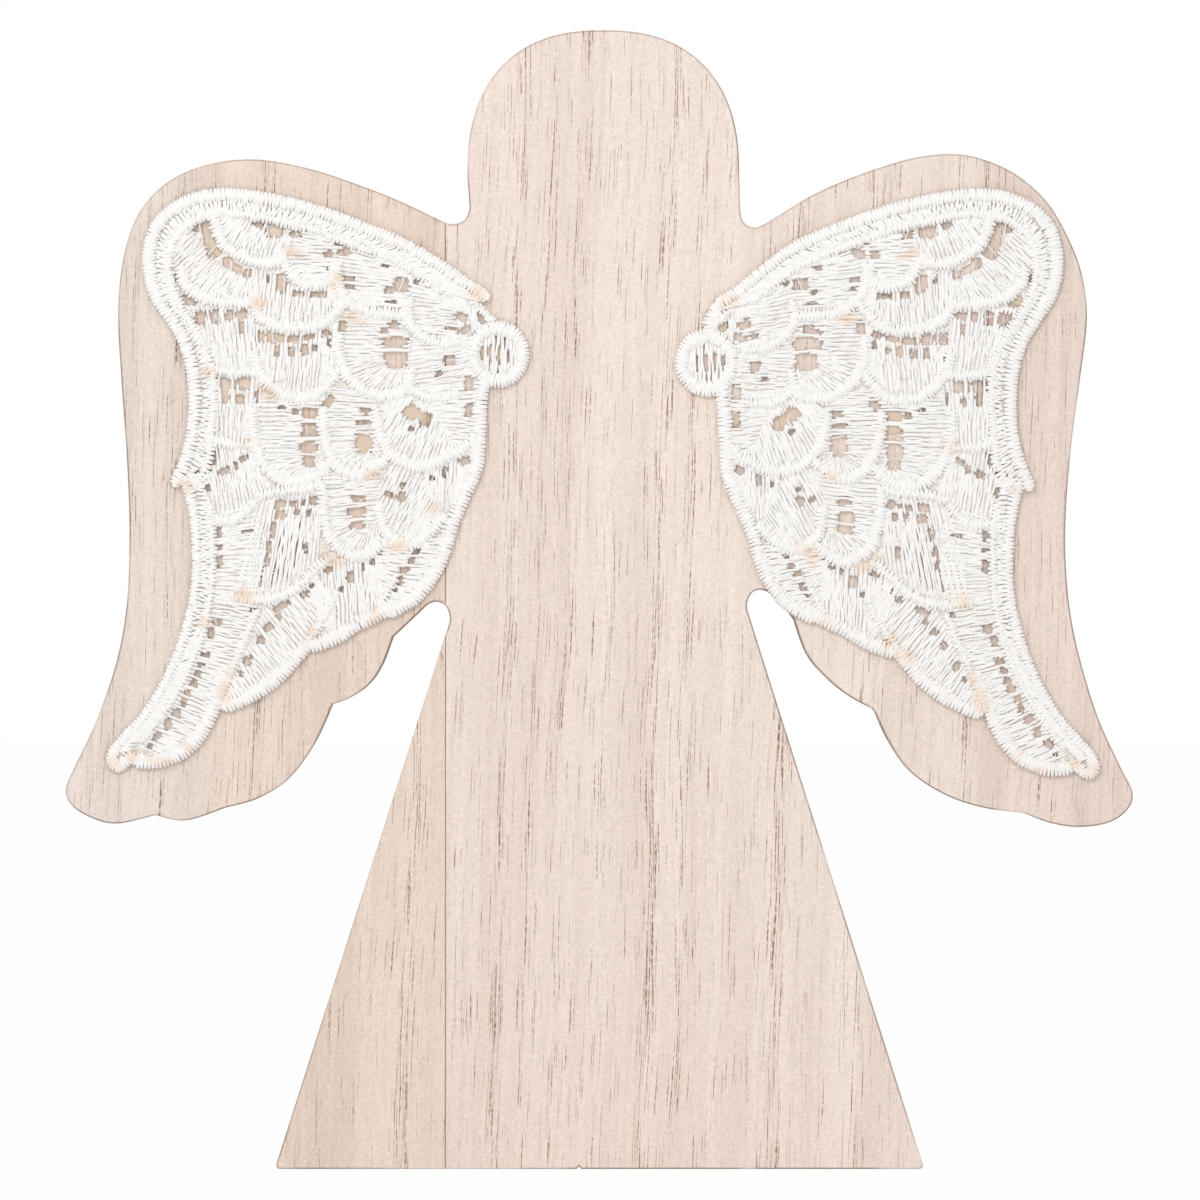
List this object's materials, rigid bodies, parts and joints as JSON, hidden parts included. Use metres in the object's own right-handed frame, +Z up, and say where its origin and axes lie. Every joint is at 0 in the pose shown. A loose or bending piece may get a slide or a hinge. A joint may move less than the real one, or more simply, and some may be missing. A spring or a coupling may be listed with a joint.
{
  "type": "wooden angel ornament",
  "caption": "Flat wooden angel silhouette with a round head, spread wings and a flared skirt, with white guipure lace glued on the wings; stands on its hem as a holiday decoration.",
  "frame": {"origin": "middle of the hem's underside, on the board's mid-plane", "axes": "+Z up from the hem to the head, -Y out of the lace-covered face, +X to the right as seen from the front"},
  "size_m": [0.1405, 0.0063, 0.15],
  "materials": {
    "face_veneer": "pale whitewashed veneer, matt",
    "core": "raw plywood core, browned by the laser at the cut",
    "lace": "white embroidered cotton thread",
    "glue": "dried clear glue with an olive tint"
  },
  "bodies": {
    "root": {"back_veneer": "face_veneer", "core_ply": "core", "front_veneer_body_leaf": "face_veneer", "front_veneer_left_wing_leaf": "face_veneer", "front_veneer_left_skirt_leaf": "face_veneer", "left_lace_net": "lace", "left_lace_border_cord": "lace", "left_lace_feather_cords": "lace", "left_lace_root_ring": "lace", "right_lace_net": "lace", "right_lace_border_cord": "lace", "right_lace_feather_cords": "lace", "right_lace_root_ring": "lace", "left_glue_dab_1": "glue", "left_glue_dab_2": "glue", "left_glue_dab_3": "glue", "left_glue_dab_4": "glue", "left_glue_dab_5": "glue", "left_glue_dab_6": "glue", "right_glue_dab_1": "glue", "right_glue_dab_2": "glue", "right_glue_dab_3": "glue", "right_glue_dab_4": "glue", "right_glue_dab_5": "glue", "right_glue_dab_6": "glue", "right_glue_dab_7": "glue"}
  },
  "joints": []
}
